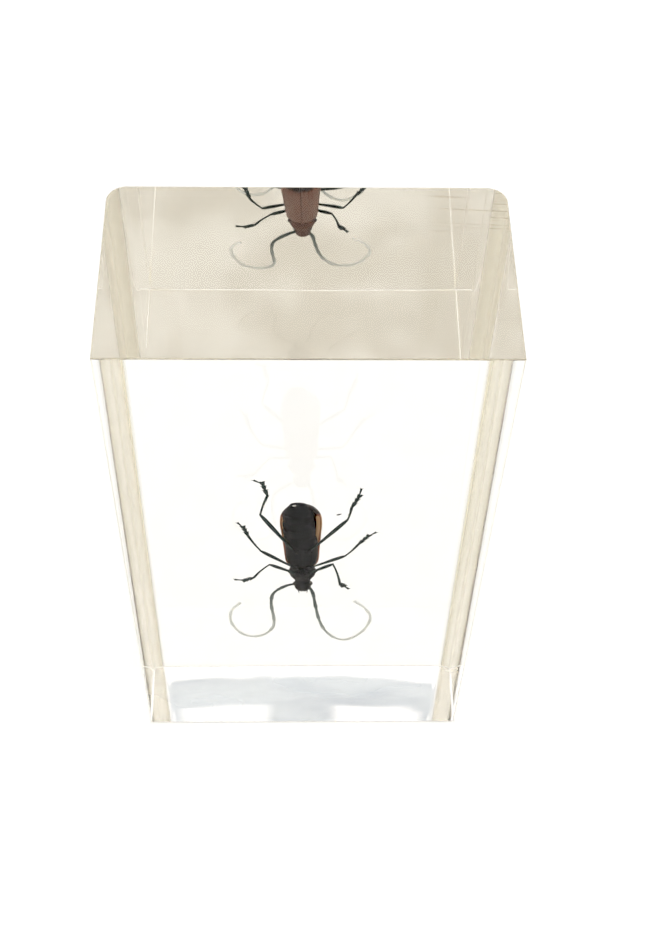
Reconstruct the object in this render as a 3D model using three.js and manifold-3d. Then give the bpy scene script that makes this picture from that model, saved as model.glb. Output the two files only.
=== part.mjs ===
// A small longhorn beetle cast in a block of clear resin.
//
// The block stands on its small end: X is its width, Y its thickness with the front at -Y, and Z its
// height. The origin is the middle of its foot, and all sizes are millimetres. The resin is parted in
// the plane that the beetle lies in, and each half holds its side of the pocket round the beetle.
//
// The beetle hangs head down with its belly to the front. It is built in a frame of its own, whose
// origin is the waist between the pronotum and the wing cases: X across it, +Y towards its back and
// +Z towards its tail. Its right side is at +X.

import * as THREE from 'three';
import { mergeVertices } from 'three/addons/utils/BufferGeometryUtils.js';
import Module from 'manifold-3d';

const wasm = await Module();
wasm.setup();

// Driving dimensions of the resin block
const BLOCK_WIDTH = 40;
const BLOCK_THICKNESS = 22.4;
const BLOCK_HEIGHT = 75;
const BACK_EDGE_RADIUS = 2.4;   // the two upright edges at the back
const EDGE_EASE = 0.3;          // every other edge is only broken
const PARTING_Y = -5.3;         // the plane between the two pours of resin
const PARTING_GAP = 0.1;

// Where the beetle lies in the block
const WAIST = new THREE.Vector3(-0.3, PARTING_Y, 35);
const LEAN = THREE.MathUtils.degToRad(-1.3);

// Clearances
const POCKET_CLEARANCE = 0.3;   // resin to beetle
const JOINT_GAP = 0.3;          // one piece of the beetle to the next

// Driving dimensions of the beetle. A profile runs along Z as [z, half width]. Belly and back give the
// depth of a section below and above the middle plane, as a share of its half width.
const HEAD = {
  profile: [[-5.2, 0.35], [-5, 0.6], [-4.4, 0.78], [-3.6, 0.95], [-3, 0.9], [-2.3, 0.7]],
  belly: 0.95,
  back: 0.95,
  rings: 7,
};
const EYE = { across: 0.78, up: -0.1, along: -3.45, radius: 0.42 };
const JAW = { from: [0.32, -0.3, -4.9], to: [0.08, -0.35, -5.5], stations: [[0, 0.2], [1, 0.06]] };

const PRONOTUM = {
  profile: [[-2.6, 0.72], [-2.2, 0.86], [-1.6, 1.1], [-0.9, 1.3], [-0.2, 1.28], [0.2, 1.15]],
  belly: 0.94,
  back: 0.98,
  rings: 7,
};
const SIDE_SPINE = { from: [1, 0.1, -0.9], to: [1.5, 0.2, -0.95], stations: [[0, 0.42], [1, 0.14]] };

const ABDOMEN = {
  profile: [[0.2, 1.0], [0.8, 1.35], [1.6, 1.52], [4, 1.6], [8.6, 1.66], [10.4, 1.46], [11.6, 1.05],
    [12.3, 0.75], [12.7, 0.5]],
  belly: 0.94,
  back: 0.68,
  rings: 11,
};

const WING_CASES = {
  profile: [[0.3, 1.2], [0.8, 1.66], [1.5, 1.86], [4, 2.04], [7, 2.18], [9, 2.27], [10.5, 2.12],
    [11.6, 1.66], [12.2, 1.15], [12.45, 0.6]],
  belly: 0.5,
  back: 0.86,
  rings: 11,
};
const WING_CASE_HEM_Y = -0.5;   // the lower hem that folds under the side of the body
const SUTURE_GAP = 0.08;        // between the two wing cases

// Profiles of the limb segments, as [share of the length, radius]
const FEMUR = [[0, 0.12], [0.35, 0.17], [0.72, 0.27], [1, 0.15]];
const TIBIA = [[0, 0.1], [0.5, 0.11], [1, 0.16]];
const TARSAL_JOINT = [[0, 0.08], [0.92, 0.15]];
const CLAW_JOINT = [[0, 0.07], [0.95, 0.08]];
const HIP = { height: 0.5, stations: [[0, 0.28], [0.5, 0.4], [1, 0.22]] };
const TARSAL_JOINTS = 3;
const LIMB_CHANNEL_RADIUS = 0.27 + POCKET_CLEARANCE;

// The joints of each leg: where it leaves the body, its knee, its ankle, the end of the broad pad
// joints of its foot, and the tip of its claw joint
const LEGS = {
  leg_front_left: [[-0.5, -1.6, -0.45], [-3.7, 0, 0.6], [-5.6, 0.1, -2.2], [-6.9, 0.1, -2.9], [-7.8, 0.1, -2.6]],
  leg_front_right: [[0.5, -1.6, -0.45], [3.5, -0.1, 0.6], [4.3, -0.3, -3.4], [4.8, -0.2, -4.2], [5.3, -0.1, -4.8]],
  leg_middle_left: [[-0.8, -1.7, 0.9], [-4.6, 0.4, 3.2], [-5.9, 0.5, 6.2], [-6.4, 0, 8.5], [-6.9, -0.1, 9.2]],
  leg_middle_right: [[0.8, -1.7, 0.9], [4.9, -0.1, 2.3], [6.3, -0.6, 4.9], [7.5, -0.9, 7], [8.2, -0.9, 7.5]],
  leg_hind_left: [[-0.75, -1.75, 4.2], [-4.4, 0.3, 10.5], [-3.5, 0.2, 14.1], [-4, 0.1, 16.7], [-4.8, 0.1, 17]],
  leg_hind_right: [[0.75, -1.75, 4.2], [5.1, 0.3, 9.3], [5.5, 0.2, 11.6], [6.4, 0.1, 14.1], [6.5, 0.1, 15.2]],
};

// The route of each antenna, from its socket beside the eye to its tip
const ANTENNAE = {
  antenna_left: [[-0.7, 0.3, -3.8], [-1.8, 0.5, -4.3], [-3.4, 0.7, -6], [-3.8, 0.7, -8.1], [-3.6, 0.6, -12.5],
    [-3.8, 0.4, -13.9], [-4.9, 0.1, -15.4], [-6.1, -0.1, -15.7], [-7.4, -0.2, -15.1], [-8.5, -0.3, -13],
    [-8.8, -0.4, -10.9], [-8.4, -0.2, -9], [-7.5, 0, -7.8]],
  antenna_right: [[0.5, 0.2, -3.9], [1.1, 0.1, -5.6], [1.4, 0, -8.3], [1.9, -0.3, -12], [2.6, -0.5, -14.3],
    [3.7, -0.6, -15.9], [4.8, -0.7, -16.4], [6, -0.6, -15.9], [7.3, -0.5, -14.1], [8, -0.4, -11.8],
    [7.9, -0.4, -10.5], [7.2, -0.4, -8.9], [6.1, -0.4, -7.5]],
};
const ANTENNA_JOINTS = 11;
const SCAPE_SHARE = 0.09;       // the long first joint
const PEDICEL_SHARE = 0.02;     // the bead after it
const ANTENNA_RADIUS = 0.17;    // at the head
const ANTENNA_TIP_RADIUS = 0.09;

// Facets
const TRUNK_SIDES = 14;
const LIMB_SIDES = 5;
const HOLLOW_SIDES = 8;
const ANTENNA_CHANNEL_STEPS = 18;

// Materials
const resin = new THREE.MeshStandardMaterial({
  color: '#f3efdf', roughness: 0.04, metalness: 0, transparent: true, opacity: 0.35,
});
const blackShell = new THREE.MeshStandardMaterial({ color: '#28262a', roughness: 0.35, metalness: 0 });
const wingShell = new THREE.MeshStandardMaterial({ color: '#6b4334', roughness: 0.45, metalness: 0 });
const limbShell = new THREE.MeshStandardMaterial({ color: '#1f2b2b', roughness: 0.3, metalness: 0.2 });

// ---- From three.js geometry to solids and back ----

/** A solid of a closed geometry, whose shared vertices are merged and whose empty triangles are left out. */
function toSolid(geometry) {
  const bare = new THREE.BufferGeometry();
  bare.setAttribute('position', geometry.getAttribute('position'));
  bare.setIndex(geometry.getIndex());
  const merged = mergeVertices(bare, 1e-5);
  const index = merged.getIndex().array;
  const triangles = [];
  for (let i = 0; i < index.length; i += 3) {
    const [a, b, c] = index.slice(i, i + 3);
    if (a !== b && b !== c && c !== a) triangles.push(a, b, c);
  }
  return new wasm.Manifold(new wasm.Mesh({
    numProp: 3,
    vertProperties: new Float32Array(merged.getAttribute('position').array),
    triVerts: new Uint32Array(triangles),
  }));
}

/** One solid of all the closed geometries given. */
function join(geometries) {
  return geometries.map(toSolid).reduce((whole, next) => whole.add(next));
}

/** The geometry of a solid. */
function toGeometry(solid) {
  const mesh = solid.getMesh();
  const geometry = new THREE.BufferGeometry();
  geometry.setAttribute('position', new THREE.BufferAttribute(mesh.vertProperties, 3));
  geometry.setIndex(new THREE.BufferAttribute(mesh.triVerts, 1));
  geometry.computeVertexNormals();
  return geometry;
}

/** A named mesh of a solid. */
function piece(name, solid, material) {
  const mesh = new THREE.Mesh(toGeometry(solid), material);
  mesh.name = name;
  return mesh;
}

// ---- Shapes that the beetle is made of. Each can be grown all round by a clearance. ----

const LATHE_AXIS = new THREE.Vector3(0, 1, 0);

/** A turned limb segment between two points, closed by blunt ends. */
function limb(from, to, stations, grow = 0) {
  const start = new THREE.Vector3(...from);
  const axis = new THREE.Vector3(...to).sub(start);
  const length = axis.length();
  const outline = stations.map(([share, radius]) => new THREE.Vector2(radius + grow, share * length));
  const first = outline[0];
  const last = outline.at(-1);
  outline.unshift(new THREE.Vector2(0, first.y - first.x / 2));
  outline.push(new THREE.Vector2(0, last.y + last.x / 2));
  const geometry = new THREE.LatheGeometry(outline, LIMB_SIDES);
  geometry.applyQuaternion(new THREE.Quaternion().setFromUnitVectors(LATHE_AXIS, axis.normalize()));
  geometry.translate(start.x, start.y, start.z);
  return geometry;
}

/** A rounded body along Z, smoothed through its profile, with its own depth to the belly and to the back. */
function trunk({ profile, belly, back, rings, sides = TRUNK_SIDES }, grow = 0) {
  const smooth = new THREE.SplineCurve(profile.map(([z, half]) => new THREE.Vector2(half + grow, z)));
  const outline = smooth.getSpacedPoints(rings);
  outline.unshift(new THREE.Vector2(0, outline[0].y - grow));
  outline.push(new THREE.Vector2(0, outline.at(-1).y + grow));
  const geometry = new THREE.LatheGeometry(outline, sides);
  geometry.rotateX(Math.PI / 2);
  const position = geometry.getAttribute('position');
  for (let i = 0; i < position.count; i += 1) {
    const y = position.getY(i);
    position.setY(i, y * (y < 0 ? belly : back));
  }
  return geometry;
}

/** A ball at a point. */
function ball([x, y, z], radius, grow = 0) {
  const geometry = new THREE.SphereGeometry(radius + grow, 8, 6);
  geometry.translate(x, y, z);
  return geometry;
}

/** The same point on the other side of the beetle. */
function across([x, y, z], side) {
  return [x * side, y, z];
}

// ---- The pieces of the beetle, as lists of geometries in its own frame ----

function headForms(grow = 0) {
  const forms = [trunk(HEAD, grow)];
  for (const side of [-1, 1]) {
    forms.push(ball([EYE.across * side, EYE.up, EYE.along], EYE.radius, grow));
    forms.push(limb(across(JAW.from, side), across(JAW.to, side), JAW.stations, grow));
  }
  return forms;
}

function pronotumForms(grow = 0) {
  const forms = [trunk(PRONOTUM, grow)];
  for (const side of [-1, 1]) {
    forms.push(limb(across(SIDE_SPINE.from, side), across(SIDE_SPINE.to, side), SIDE_SPINE.stations, grow));
  }
  return forms;
}

/** The short thick joint that a leg hangs from. */
function hipForm([x, y, z], grow = 0) {
  return limb([x, y, z + HIP.height / 2], [x, y, z - HIP.height / 2], HIP.stations, grow);
}

/** The hip, thigh, shin, pad joints and claw joint of one leg. */
function legForms([hip, knee, ankle, pad, tip]) {
  const forms = [
    hipForm(hip),
    limb(hip, knee, FEMUR),
    limb(knee, ankle, TIBIA),
  ];
  const footStart = new THREE.Vector3(...ankle);
  const footEnd = new THREE.Vector3(...pad);
  for (let i = 0; i < TARSAL_JOINTS; i += 1) {
    const from = footStart.clone().lerp(footEnd, i / TARSAL_JOINTS);
    const to = footStart.clone().lerp(footEnd, (i + 1) / TARSAL_JOINTS);
    forms.push(limb(from, to, TARSAL_JOINT));
  }
  forms.push(limb(pad, tip, CLAW_JOINT));
  return forms;
}

/** The plain channel round one leg, from joint to joint. */
function legChannel(joints) {
  const width = LIMB_CHANNEL_RADIUS;
  const runs = joints.slice(1).map((end, i) => limb(joints[i], end, [[0, width], [1, width]]));
  return [hipForm(joints[0], POCKET_CLEARANCE), ...runs];
}

/** The smooth line that an antenna follows. */
function antennaLine(route) {
  return new THREE.CatmullRomCurve3(route.map((point) => new THREE.Vector3(...point)));
}

/** The joints of one antenna, each a little wider at its far end. */
function antennaForms(route) {
  const line = antennaLine(route);
  const ends = [0, SCAPE_SHARE, SCAPE_SHARE + PEDICEL_SHARE];
  const rest = (1 - SCAPE_SHARE - PEDICEL_SHARE) / (ANTENNA_JOINTS - 2);
  while (ends.length <= ANTENNA_JOINTS) ends.push(ends.at(-1) + rest);
  const forms = [];
  for (let i = 0; i < ANTENNA_JOINTS; i += 1) {
    const radius = THREE.MathUtils.lerp(ANTENNA_RADIUS, ANTENNA_TIP_RADIUS, i / (ANTENNA_JOINTS - 1));
    const from = line.getPointAt(ends[i]);
    const to = line.getPointAt(Math.min(ends[i + 1], 1));
    forms.push(limb(from, to, [[0, radius * 0.75], [1, radius]]));
  }
  return forms;
}

/** The plain channel round one antenna, with a blunt end past its tip. */
function antennaChannel(route) {
  const line = antennaLine(route);
  const width = LIMB_CHANNEL_RADIUS;
  const section = new THREE.Shape(new THREE.EllipseCurve(0, 0, width, width).getPoints(LIMB_SIDES));
  const tube = new THREE.ExtrudeGeometry(section, { steps: ANTENNA_CHANNEL_STEPS, extrudePath: line });
  const end = limb(line.getPointAt(1 - 1 / ANTENNA_CHANNEL_STEPS), line.getPointAt(1), [[0, width], [1, width]]);
  return [tube, end];
}

// ---- The beetle ----

const beetle = new THREE.Group();
beetle.position.copy(WAIST);
beetle.rotation.y = LEAN;
beetle.updateMatrix();

const pronotumRoom = join(pronotumForms(JOINT_GAP));
const abdomenRoom = toSolid(trunk(ABDOMEN, JOINT_GAP));
const headRoom = join(headForms(JOINT_GAP));

beetle.add(piece('head', join(headForms()).subtract(pronotumRoom), blackShell));
beetle.add(piece('pronotum', join(pronotumForms()), blackShell));
beetle.add(piece('abdomen', toSolid(trunk(ABDOMEN)).subtract(pronotumRoom), blackShell));

const wingCover = toSolid(trunk(WING_CASES)).subtract(abdomenRoom).subtract(pronotumRoom);
for (const [name, side] of [['wing_case_left', -1], ['wing_case_right', 1]]) {
  const span = BLOCK_HEIGHT;
  const sideRoom = new THREE.BoxGeometry(span, span, span);
  sideRoom.translate(side * (span + SUTURE_GAP) / 2, WING_CASE_HEM_Y + span / 2, 0);
  beetle.add(piece(name, wingCover.intersect(toSolid(sideRoom)), wingShell));
}

for (const [name, joints] of Object.entries(LEGS)) {
  const solid = join(legForms(joints)).subtract(abdomenRoom).subtract(pronotumRoom);
  beetle.add(piece(name, solid, limbShell));
}

for (const [name, route] of Object.entries(ANTENNAE)) {
  beetle.add(piece(name, join(antennaForms(route)).subtract(headRoom), limbShell));
}

// ---- The resin ----

/** The whole block: its outline from above, pushed up, with its top and foot edges broken. */
function blockGeometry() {
  const halfWidth = BLOCK_WIDTH / 2 - EDGE_EASE;
  const front = -BLOCK_THICKNESS / 2 + EDGE_EASE;
  const back = BLOCK_THICKNESS / 2 - EDGE_EASE;
  const corner = BACK_EDGE_RADIUS - EDGE_EASE;
  const outline = new THREE.Shape();
  outline.moveTo(-halfWidth, front);
  outline.lineTo(halfWidth, front);
  outline.lineTo(halfWidth, back - corner);
  outline.absarc(halfWidth - corner, back - corner, corner, 0, Math.PI / 2);
  outline.lineTo(corner - halfWidth, back);
  outline.absarc(corner - halfWidth, back - corner, corner, Math.PI / 2, Math.PI);
  const geometry = new THREE.ExtrudeGeometry(outline, {
    depth: BLOCK_HEIGHT - 2 * EDGE_EASE,
    bevelEnabled: true,
    bevelSize: EDGE_EASE,
    bevelThickness: EDGE_EASE,
    bevelSegments: 2,
    curveSegments: 6,
  });
  geometry.translate(0, 0, EDGE_EASE);
  return geometry;
}

/** Everything on one side of the parting plane. */
function sideOfParting(side) {
  const span = 2 * BLOCK_HEIGHT;
  const room = new THREE.BoxGeometry(span, span, span);
  room.translate(0, PARTING_Y + side * (span + PARTING_GAP) / 2, BLOCK_HEIGHT / 2);
  return toSolid(room);
}

/** The room that the resin leaves round one body piece. */
function bodyHollow(form) {
  return trunk({ ...form, sides: HOLLOW_SIDES }, POCKET_CLEARANCE);
}

const pocketForms = [
  ...[HEAD, PRONOTUM, ABDOMEN, WING_CASES].map(bodyHollow),
  ...Object.values(LEGS).flatMap(legChannel),
  ...Object.values(ANTENNAE).flatMap(antennaChannel),
];
const pocket = join(pocketForms.map((form) => form.applyMatrix4(beetle.matrix)));
const casting = toSolid(blockGeometry()).subtract(pocket);

const specimenBlock = new THREE.Group();
specimenBlock.add(piece('resin_front', casting.intersect(sideOfParting(-1)), resin));
specimenBlock.add(piece('resin_back', casting.intersect(sideOfParting(1)), resin));
specimenBlock.add(beetle);

export default specimenBlock;
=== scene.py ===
"""A small longhorn beetle, head down, cast in an upright block of clear resin.

The block stands on its small end. X is its width, Y its thickness with the front at -Y, and Z its height.
Sizes are in millimetres and become metres when a piece is finished. The beetle is modelled in a frame of
its own, whose origin is the waist between the pronotum and the wing cases: X runs across it with its right
side at +X, +Y points to its back and +Z to its tail.
"""

import logging
import math
import random
from collections.abc import Callable, Sequence
from dataclasses import dataclass, field
from enum import Enum

import bmesh
import bpy
from bmesh.types import BMEdge, BMesh, BMVert
from bpy.types import Material, Node, NodeSocket, NodeTree
from mathutils import Matrix, Vector, noise


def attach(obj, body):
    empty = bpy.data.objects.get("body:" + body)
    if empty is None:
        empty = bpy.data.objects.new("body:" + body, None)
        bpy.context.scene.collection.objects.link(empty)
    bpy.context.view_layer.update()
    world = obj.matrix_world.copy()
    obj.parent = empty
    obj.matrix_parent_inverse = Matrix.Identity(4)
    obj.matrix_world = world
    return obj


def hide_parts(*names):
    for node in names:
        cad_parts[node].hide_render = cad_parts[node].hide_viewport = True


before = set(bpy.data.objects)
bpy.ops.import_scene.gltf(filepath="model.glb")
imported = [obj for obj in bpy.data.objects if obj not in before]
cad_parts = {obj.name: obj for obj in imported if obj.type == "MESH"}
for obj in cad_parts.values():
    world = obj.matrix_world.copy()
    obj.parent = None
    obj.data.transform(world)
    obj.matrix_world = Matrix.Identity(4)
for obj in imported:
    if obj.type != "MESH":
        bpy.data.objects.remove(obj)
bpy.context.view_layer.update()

log = logging.getLogger("specimen_block")

MM = 0.001
TAU = 2 * math.pi
TOWARDS_BACK = Vector((0, 1, 0))

# How finely curves are drawn, and the domes that close the ends of limbs and of the body
SPAN_STEPS = 24
DOME_ARCS = (1.35, 0.9, 0.45)
DOME_HEIGHT = 0.7
CAP_SHARES = (0.35, 0.7, 0.92)
POLE_SHARE = 0.8

# What a range node takes to come and go softly
SOFTLY = {"interpolation_type": "SMOOTHSTEP"}

# Where the beetle lies in the block
WAIST = Vector((-0.3, -5.3, 35.0))
LEAN = math.radians(-1.3)
BEETLE_PLACE = Matrix.Scale(MM, 4) @ Matrix.Translation(WAIST) @ Matrix.Rotation(LEAN, 4, "Y")
BLOCK_PLACE = Matrix.Scale(MM, 4)

Point = tuple[float, float, float]
Profile = tuple[tuple[float, float], ...]


class Side(Enum):
    """A side of the beetle, as the sign of X."""

    LEFT = -1
    RIGHT = 1

    @property
    def word(self) -> str:
        """The side's name as it stands in the names of pieces."""
        return self.name.lower()

    def of(self, point: Point) -> Vector:
        """The point of the right side, on this side."""
        return Vector((point[0] * self.value, point[1], point[2]))


# ---- Lines ----


def catmull_rom(four: Sequence[Vector], share: float) -> Vector:
    """Finds a point on the middle span of a centripetal Catmull-Rom curve.

    Args:
        four: The span's two ends, between the point before it and the point after it.
        share: How far along the span the point lies, from 0 to 1.

    Returns:
        The point on the curve.
    """
    knots = [0.0]
    for a, b in zip(four, four[1:]):
        knots.append(knots[-1] + max((b - a).length, 1e-6) ** 0.5)
    at = knots[1] + share * (knots[2] - knots[1])

    def between(a: Vector, b: Vector, low: int, high: int) -> Vector:
        """Blends two points by where the place lies between two knots."""
        return a.lerp(b, (at - knots[low]) / (knots[high] - knots[low]))

    before, middle, after = (between(four[i], four[i + 1], i, i + 1) for i in range(3))
    return between(between(before, middle, 0, 2), between(middle, after, 1, 3), 1, 2)


def spaced(line: Sequence[Vector], steps: int) -> list[Vector]:
    """Spreads points along a line of short straight runs.

    Args:
        line: The points of the line.
        steps: How many equal steps to take.

    Returns:
        steps + 1 points at equal distances, with both ends.
    """
    reach = [0.0]
    for a, b in zip(line, line[1:]):
        reach.append(reach[-1] + (b - a).length)
    points, run = [], 0
    for step in range(steps + 1):
        at = reach[-1] * step / steps
        while run < len(line) - 2 and reach[run + 1] < at:
            run += 1
        span = reach[run + 1] - reach[run]
        points.append(line[run].lerp(line[run + 1], (at - reach[run]) / span if span else 0.0))
    return points


def smooth_line(points: Sequence[Vector], steps: int) -> list[Vector]:
    """Draws a smooth line through points.

    Args:
        points: What the line passes through.
        steps: How many equal steps the line has.

    Returns:
        steps + 1 points along the line.
    """
    padded = [points[0] * 2 - points[1], *points, points[-1] * 2 - points[-2]]
    fine = [
        catmull_rom(padded[i : i + 4], t / SPAN_STEPS)
        for i in range(len(points) - 1)
        for t in range(SPAN_STEPS)
    ]
    return spaced([*fine, points[-1]], steps)


def bump(distance: float, width: float) -> float:
    """A smooth hill of height 1 that ends at the given distance from its middle."""
    return 0.5 + 0.5 * math.cos(math.pi * distance / width) if abs(distance) < width else 0.0


def ease(value: float, low: float, high: float) -> float:
    """How far value has come from low to high, from 0 to 1, with soft ends."""
    t = min(max((value - low) / (high - low), 0.0), 1.0)
    return t * t * (3 - 2 * t)


# ---- Forms: each is a bmesh in millimetres ----


def turned(outline: Sequence[Vector], steps: int, angle: float = TAU) -> BMesh:
    """Turns an outline round the Z axis.

    Args:
        outline: The outline's points, where the turn starts.
        steps: How many steps the turn has.
        angle: How far it goes.

    Returns:
        The form, which is closed after a whole turn of an outline from pole to pole.
    """
    form = bmesh.new()
    verts = [form.verts.new(point) for point in outline]
    edges = [form.edges.new(pair) for pair in zip(verts, verts[1:])]
    is_whole = angle == TAU
    bmesh.ops.spin(
        form, geom=[*verts, *edges], cent=(0, 0, 0), axis=(0, 0, 1), angle=angle, steps=steps,
        use_merge=is_whole,
    )
    if is_whole:
        bmesh.ops.remove_doubles(form, verts=form.verts[:], dist=1e-5)
    return form


def swept(
    line: Sequence[Vector], radii: Sequence[float], sides: int = 12, depth: float = 1.0,
    up: Vector = TOWARDS_BACK, label: str | None = None, labels: Sequence[float] = (),
) -> BMesh:
    """Draws a round or flattened section along a line, with a low dome at each end.

    Args:
        line: The middle of each section.
        radii: The half width of each section.
        sides: How many sides a section has.
        depth: The section's thickness along up, as a share of its width.
        up: The direction that the section is thin in.
        label: The name of a point attribute to fill, if any.
        labels: The attribute's value at each section.

    Returns:
        The closed form.
    """
    places = []
    for i, (middle, radius) in enumerate(zip(line, radii)):
        along = (line[min(i + 1, len(line) - 1)] - line[max(i - 1, 0)]).normalized()
        across = along.cross(up).normalized()
        top = across.cross(along)
        place = Matrix([across * radius, top * radius * depth, along * radius]).transposed()
        places.append(Matrix.Translation(middle) @ place.to_4x4())

    def dome(arc: float, way: int) -> Matrix:
        """The place of one ring of a dome, against the place of the end that it closes."""
        rise = Matrix.Translation((0, 0, way * DOME_HEIGHT * math.sin(arc)))
        return rise @ Matrix.Scale(math.cos(arc), 4)

    stops = [places[0] @ dome(arc, -1) for arc in DOME_ARCS]
    stops += places
    stops += [places[-1] @ dome(arc, 1) for arc in reversed(DOME_ARCS)]

    form = bmesh.new()
    layer = form.verts.layers.float.new(label) if label else None
    circle = bmesh.ops.create_circle(form, segments=sides, radius=1.0, cap_ends=False)
    ring = circle["verts"]
    bmesh.ops.transform(form, matrix=stops[0], verts=ring)
    rings = [ring]
    for last, place in zip(stops, stops[1:]):
        edges = [e for e in form.edges if all(v in ring for v in e.verts)]
        grown = bmesh.ops.extrude_edge_only(form, edges=edges)["geom"]
        ring = [v for v in grown if isinstance(v, BMVert)]
        bmesh.ops.transform(form, matrix=place @ last.inverted(), verts=ring)
        rings.append(ring)
    bmesh.ops.holes_fill(form, edges=[e for e in form.edges if e.is_boundary], sides=0)
    if layer:
        ends = len(DOME_ARCS)
        padded = [labels[0]] * ends + list(labels) + [labels[-1]] * ends
        for ring, value in zip(rings, padded):
            for vert in ring:
                vert[layer] = value
    return form


def ball(centre: Vector, radius: float, scale: Point = (1, 1, 1), fineness: int = 16) -> BMesh:
    """Makes a ball or an egg.

    Args:
        centre: Its middle.
        radius: Its radius before it is stretched.
        scale: The stretch along X, Y and Z.
        fineness: How many rings it has.

    Returns:
        The closed form.
    """
    form = bmesh.new()
    place = Matrix.Translation(centre) @ Matrix.Diagonal((*scale, 1))
    segments = {"u_segments": 2 * fineness, "v_segments": fineness}
    bmesh.ops.create_uvsphere(form, radius=radius, matrix=place, **segments)
    return form


def segment(
    start: Vector, end: Vector, stations: Profile, steps: int = 16, bow: Vector | None = None,
    **more: object,
) -> BMesh:
    """Makes one joint of a limb.

    Args:
        start: Where the joint starts.
        end: Where it ends.
        stations: Its radius along it, as (share of the length, radius).
        steps: How many sections it has.
        bow: How far its middle is pushed aside, if it is bowed.
        **more: What swept also takes.

    Returns:
        The closed form.
    """
    shares = [i / steps for i in range(steps + 1)]
    aside = bow or Vector()
    line = [start.lerp(end, share) + aside * math.sin(math.pi * share) for share in shares]
    smooth = smooth_line([Vector((share, r, 0)) for share, r in stations], 60)
    radii = [min(smooth, key=lambda point: abs(point.x - share)).y for share in shares]
    return swept(line, radii, **more)


@dataclass
class Piece:
    """Gathers closed forms into one finished piece."""

    name: str
    slot: str
    stands_for: tuple[str, ...]
    materials: list[Material]
    place: Matrix = field(default_factory=lambda: BEETLE_PLACE)
    body: BMesh = field(default_factory=bmesh.new)

    def add(self, form: BMesh, material: int = 0) -> None:
        """Adds a closed form, shaded smooth, and frees it.

        Args:
            form: The form, in the frame that the piece is modelled in.
            material: The place of its finish in the piece's materials.
        """
        bmesh.ops.recalc_face_normals(form, faces=form.faces[:])
        for face in form.faces:
            face.material_index = material
            face.smooth = True
        mesh = bpy.data.meshes.new("form")
        form.to_mesh(mesh)
        form.free()
        self.body.from_mesh(mesh)
        bpy.data.meshes.remove(mesh)

    def finish(self) -> None:
        """Makes the object, with its place in its mesh, and sets it in the frame."""
        self.body.transform(self.place)
        mesh = bpy.data.meshes.new(self.name)
        self.body.to_mesh(mesh)
        self.body.free()
        for material in self.materials:
            mesh.materials.append(material)
        piece = bpy.data.objects.new(self.name, mesh)
        bpy.context.scene.collection.objects.link(piece)
        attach(piece, "root")
        if self.stands_for:
            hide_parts(*self.stands_for)
        log.info("%s: %d faces", self.name, len(mesh.polygons))


# ---- Finishes ----


def linear(code: str) -> tuple[float, float, float, float]:
    """Turns an sRGB hex colour into the linear values that a shader takes.

    Args:
        code: The colour as "#rrggbb".

    Returns:
        Red, green, blue and an alpha of 1.
    """
    shares = [int(code[i : i + 2], 16) / 255 for i in (1, 3, 5)]
    red, green, blue = (s / 12.92 if s <= 0.04045 else ((s + 0.055) / 1.055) ** 2.4 for s in shares)
    return red, green, blue, 1.0


def add_node(
    tree: NodeTree, kind: str, inputs: dict[str | int, object] | None = None,
    stops: Sequence[tuple[float, str]] = (), **settings: object,
) -> Node:
    """Adds a node, sets it and links it.

    Args:
        tree: The node tree.
        kind: The node's type, without the leading "ShaderNode".
        inputs: A value, a socket or a node, which gives its first output, for each input's name or number.
        stops: The place and the sRGB hex colour of each stop of a colour ramp.
        **settings: The node's own settings.

    Returns:
        The new node.
    """
    node = tree.nodes.new("ShaderNode" + kind)
    for name, value in settings.items():
        setattr(node, name, value)
    for name, value in (inputs or {}).items():
        source = value.outputs[0] if isinstance(value, Node) else value
        if isinstance(source, NodeSocket):
            tree.links.new(source, node.inputs[name])
        else:
            node.inputs[name].default_value = source
    if stops:
        elements = node.color_ramp.elements
        while len(elements) < len(stops):
            elements.new(1.0)
        for element, (place, colour) in zip(elements, stops):
            element.position, element.color = place, linear(colour)
    return node


def new_material(name: str) -> tuple[Material, NodeTree]:
    """Starts a material without nodes.

    Args:
        name: The material's name.

    Returns:
        The material and its empty node tree.
    """
    material = bpy.data.materials.new(name)
    material.use_nodes = True
    material.node_tree.nodes.clear()
    return material, material.node_tree


def object_noise(tree: NodeTree, size_mm: float, detail: float = 3.0) -> Node:
    """Adds noise of about 0 to 1 in the object's own space.

    Args:
        tree: The node tree.
        size_mm: The width of one cloud of the noise.
        detail: How many finer layers it has.

    Returns:
        The node that gives the noise.
    """
    where = add_node(tree, "TexCoord").outputs["Object"]
    return add_node(tree, "TexNoise", {"Vector": where, "Scale": 1 / (size_mm * MM), "Detail": detail})


def clouds(
    tree: NodeTree, size_mm: float, detail: float, found: tuple[float, float], given: tuple[float, float],
    **settings: object,
) -> Node:
    """Adds noise in the object's own space and stretches it to a range.

    Args:
        tree: The node tree.
        size_mm: The width of one cloud.
        detail: How many finer layers the noise has.
        found: The part of the noise, from low to high, that is stretched.
        given: What it is stretched to, from low to high.
        **settings: The settings of the range.

    Returns:
        The node that gives the clouds.
    """
    ranges = zip(("From Min", "From Max", "To Min", "To Max"), (*found, *given))
    plain = object_noise(tree, size_mm, detail)
    return add_node(tree, "MapRange", {"Value": plain, **dict(ranges)}, **settings)


def mottled(tree: NodeTree, attribute: str, size_mm: float, reach: float) -> Node:
    """Adds clouds to a point attribute, so that the colour that follows it is uneven.

    Args:
        tree: The node tree.
        attribute: The name of the attribute.
        size_mm: The width of one cloud.
        reach: How far the clouds move the attribute's value up and down.

    Returns:
        The node that gives the uneven value.
    """
    plain = add_node(tree, "Attribute", attribute_name=attribute).outputs["Fac"]
    mottle = clouds(tree, size_mm, 3.0, (0.0, 1.0), (-reach, reach))
    return add_node(tree, "Math", {0: plain, 1: mottle}, operation="ADD")


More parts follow.
